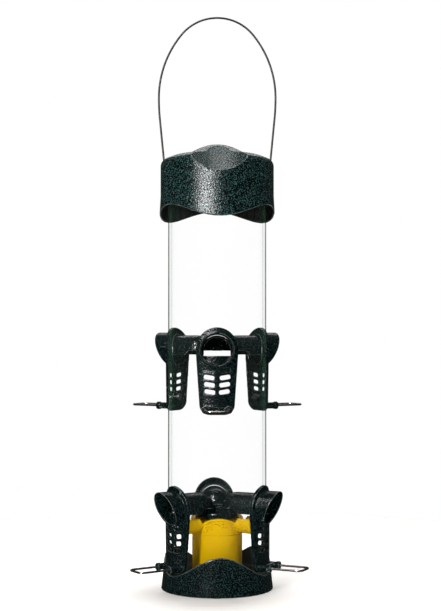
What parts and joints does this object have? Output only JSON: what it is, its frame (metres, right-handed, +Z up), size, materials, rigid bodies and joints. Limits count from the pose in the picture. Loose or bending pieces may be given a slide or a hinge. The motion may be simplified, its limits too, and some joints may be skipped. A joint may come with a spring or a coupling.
{
  "type": "tube bird feeder",
  "caption": "Clear seed tube with two tiers of cast feeding ports and wire perches, a wavy cast base and a cap that slides on a wire bail.",
  "frame": {"origin": "centre of the base's bottom rim, in the plane it stands on", "axes": "+Z up the seed tube; -Y towards the front upper port; the bail lies in the XZ plane"},
  "size_m": [0.1596, 0.1742, 0.518],
  "materials": {
    "hammertone": "glossy dark green hammertone powder coat",
    "clear_tube": "clear polycarbonate with a faint green edge",
    "yellow_plastic": "glossy moulded plastic",
    "perch_wire": "polished stainless wire",
    "bail_wire": "dark drawn steel wire",
    "steel": "plain zinc-plated steel",
    "brass": "satin brass",
    "black_plastic": "fine-textured black plastic",
    "rubber": "soft black rubber"
  },
  "bodies": {
    "base": {"base_cup": "hammertone", "core_drum": "yellow_plastic", "seed_deflector": "yellow_plastic"},
    "release_screw": {"release_knob": "black_plastic", "release_stud": "steel", "thrust_washer": "steel", "stud_clip": "steel"},
    "tube": {"seed_tube": "clear_tube", "upper_port_1": "hammertone", "upper_perch_1": "perch_wire", "upper_baffle_1": "hammertone", "upper_port_2": "hammertone", "upper_perch_2": "perch_wire", "upper_baffle_2": "hammertone", "upper_port_3": "hammertone", "upper_perch_3": "perch_wire", "upper_baffle_3": "hammertone", "upper_port_screws": "steel", "upper_hub_screws": "steel", "upper_hub": "hammertone", "lower_port_1": "hammertone", "lower_perch_1": "perch_wire", "lower_baffle_1": "hammertone", "lower_port_2": "hammertone", "lower_perch_2": "perch_wire", "lower_baffle_2": "hammertone", "lower_port_3": "hammertone", "lower_perch_3": "perch_wire", "lower_baffle_3": "hammertone", "lower_port_screws": "steel", "lower_hub_screws": "steel", "lower_hub": "hammertone", "hub_nut": "brass", "bail_eyelets": "brass"},
    "bail": {"bail": "bail_wire", "bail_stops": "steel"},
    "cap": {"cap": "hammertone", "cap_pads": "rubber"}
  },
  "joints": [
    {"name": "base_release", "type": "slide", "parent": "base", "child": "tube", "axis": [0, 0, 1], "range_m": [0, 0.075]},
    {"name": "release_turn", "type": "hinge", "parent": "base", "child": "release_screw", "pos_m": [0, 0, 0.007], "axis": [0, 0, 1], "range_deg": [0, 720]},
    {"name": "bail_rock", "type": "hinge", "parent": "tube", "child": "bail", "pos_m": [0, 0, 0.36], "axis": [1, 0, 0], "range_deg": [-3, 3]},
    {"name": "cap_lift", "type": "slide", "parent": "bail", "child": "cap", "axis": [0, 0, 1], "range_m": [0, 0.06], "deforming": ["bail"]}
  ]
}
